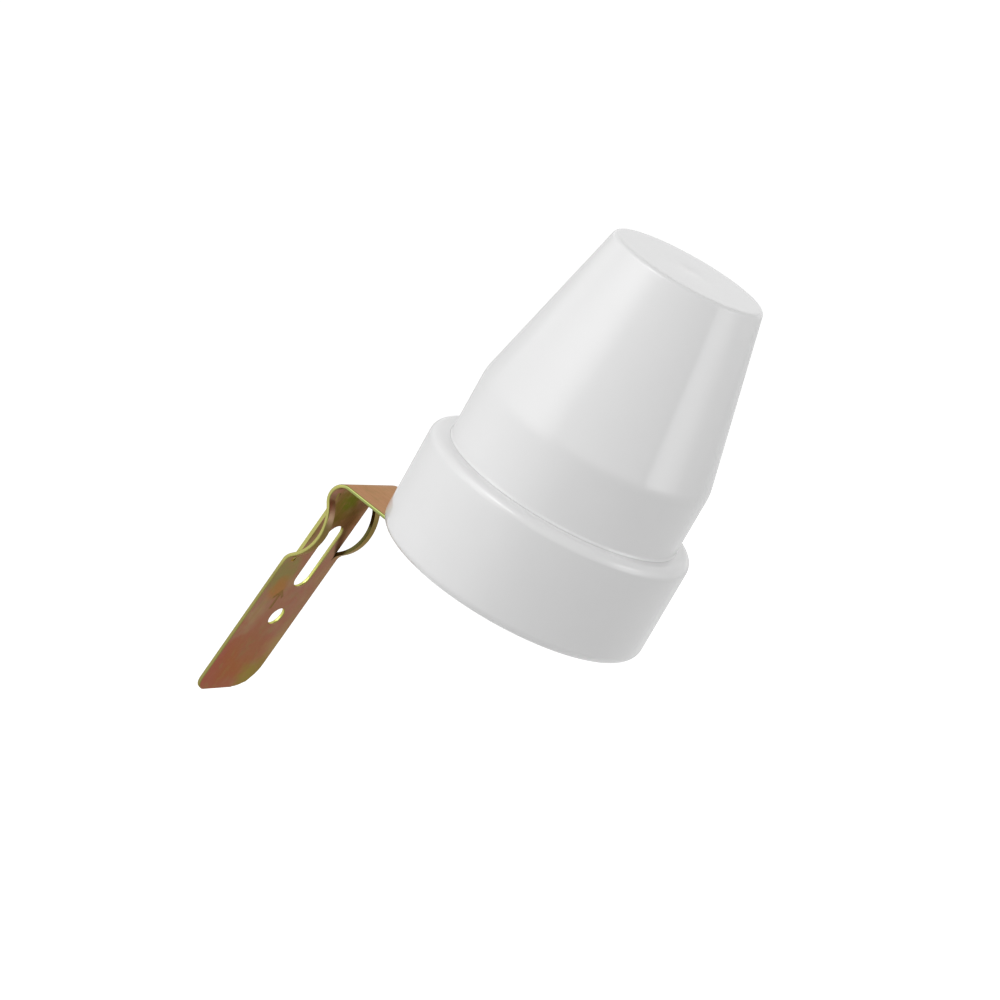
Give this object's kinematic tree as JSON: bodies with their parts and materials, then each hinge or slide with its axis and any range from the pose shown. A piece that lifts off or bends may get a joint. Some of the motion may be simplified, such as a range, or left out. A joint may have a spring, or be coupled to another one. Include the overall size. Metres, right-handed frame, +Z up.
{
  "type": "photocell switch",
  "caption": "Outdoor photocell switch: translucent conical cover on a round white base cup, held by a folded steel wall bracket with a slot, a screw hole and bowed side straps.",
  "frame": {"origin": "on the housing's axis in the plane of the base cup's lower edge, inside the wire inlet's bore", "axes": "+Z up the housing's axis to the cover's top, -X towards the bracket's long leg, +Y across the bracket to its right edge seen from the housing's front"},
  "size_m": [0.0949, 0.072, 0.162],
  "materials": {
    "cover_plastic": "translucent white moulding, smooth satin gloss",
    "base_plastic": "opaque white moulding, smooth satin gloss",
    "zinc_steel": "yellow zinc with olive, copper and pink tints",
    "screw_steel": "bright zinc",
    "grommet_rubber": "matt black rubber",
    "board_laminate": "tan paper laminate",
    "relay_case": "blue moulded case",
    "sensor_head": "ceramic disc under clear resin",
    "film_resin": "yellow moulded box",
    "can_sleeve": "dark blue shrink sleeve",
    "black_mould": "black moulding",
    "diode_glass": "orange glass body",
    "resistor_coat": "tan lacquer"
  },
  "bodies": {
    "root": {"cover": "cover_plastic", "base": "base_plastic", "bracket": "zinc_steel", "bracket_screws": "screw_steel", "wire_grommet": "grommet_rubber", "circuit_board": "board_laminate", "board_screws": "screw_steel", "relay": "relay_case", "light_sensor": "sensor_head", "dropper_capacitor": "film_resin", "smoothing_capacitor": "can_sleeve", "delay_capacitor": "can_sleeve", "rectifier_diodes": "black_mould", "zener_diode": "diode_glass", "coil_diode": "diode_glass", "relay_transistor": "black_mould", "sensing_transistor": "black_mould", "surge_resistor": "resistor_coat", "bleed_resistor": "resistor_coat", "bias_resistors": "resistor_coat"}
  },
  "joints": []
}
